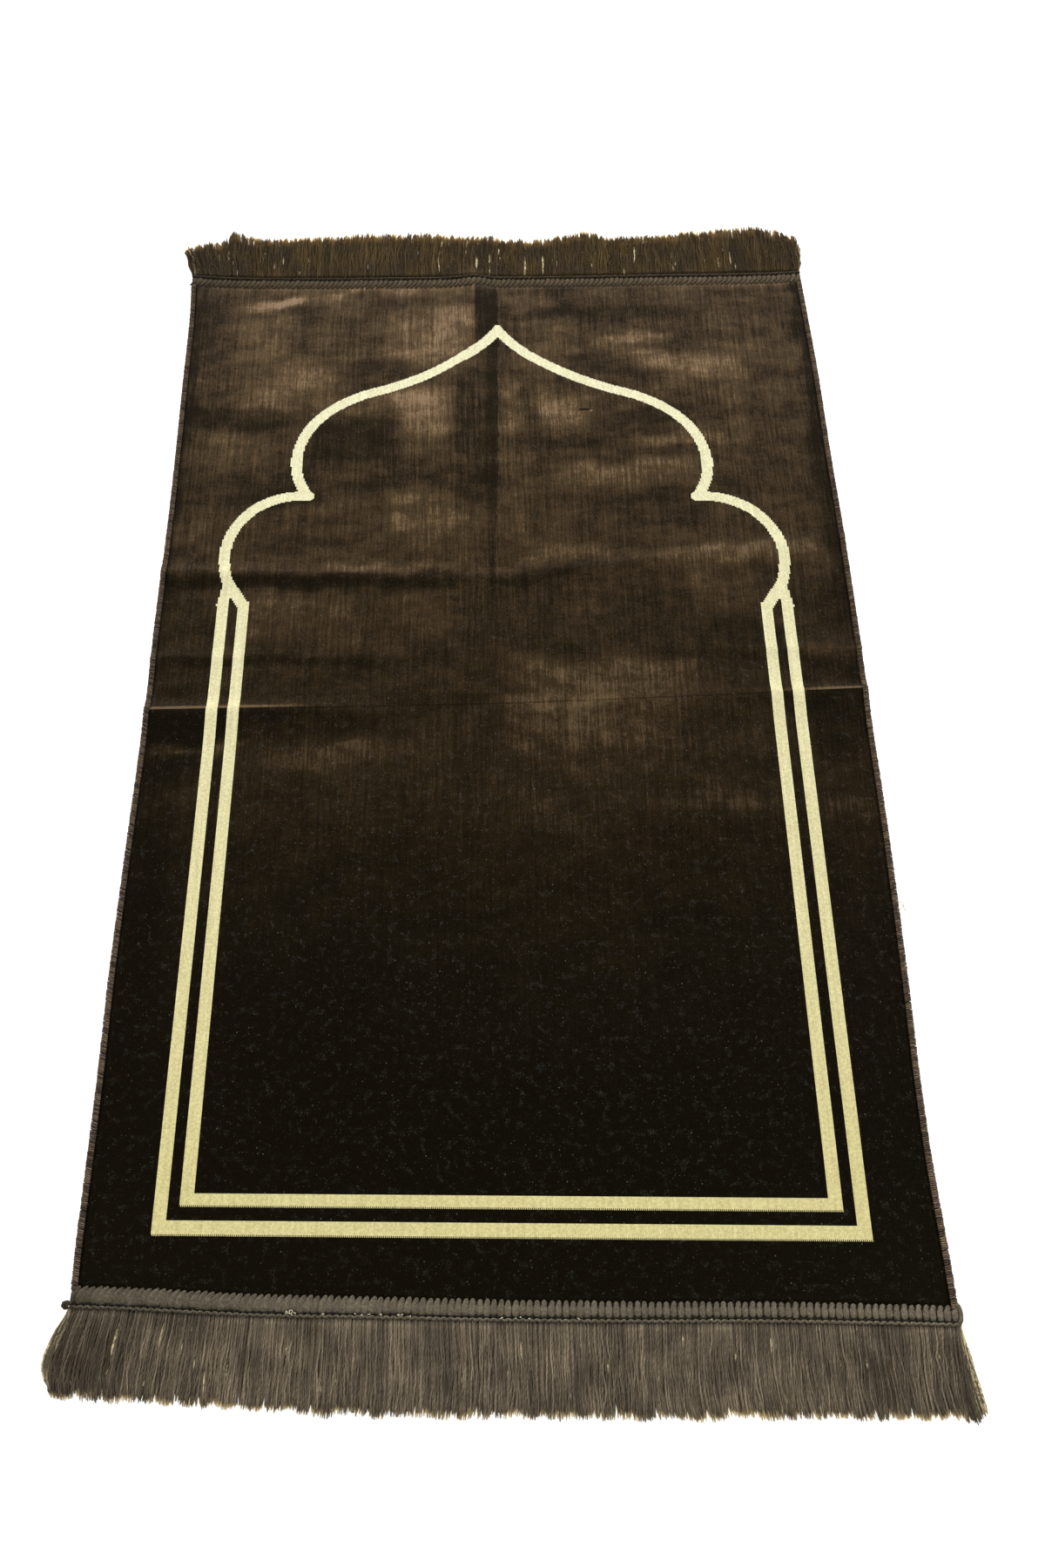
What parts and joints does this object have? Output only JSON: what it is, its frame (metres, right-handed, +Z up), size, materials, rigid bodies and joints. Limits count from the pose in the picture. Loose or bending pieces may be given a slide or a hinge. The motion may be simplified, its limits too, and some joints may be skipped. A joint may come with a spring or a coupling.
{
  "type": "prayer rug",
  "caption": "Flat velvet prayer rug lying pile up, with serged long sides and a looped heading with a yarn fringe sewn along each short end.",
  "frame": {"origin": "middle of the underside, where the cloth rests on the floor", "axes": "+X across the rug to its right side, +Y along the rug towards the point of the arch, +Z up out of the pile"},
  "size_m": [0.7267, 1.246, 0.0079],
  "materials": {
    "velvet_pile": "short brown-black velvet pile with woven pale green-cream stripes",
    "fringe_yarn": "soft grey-brown twisted yarn",
    "serging_yarn": "grey-brown overcast yarn"
  },
  "bodies": {
    "root": {"velvet_cloth": "velvet_pile", "fringe_front": "fringe_yarn", "fringe_back": "fringe_yarn", "serged_edge_left": "serging_yarn", "serged_edge_right": "serging_yarn"}
  },
  "joints": []
}
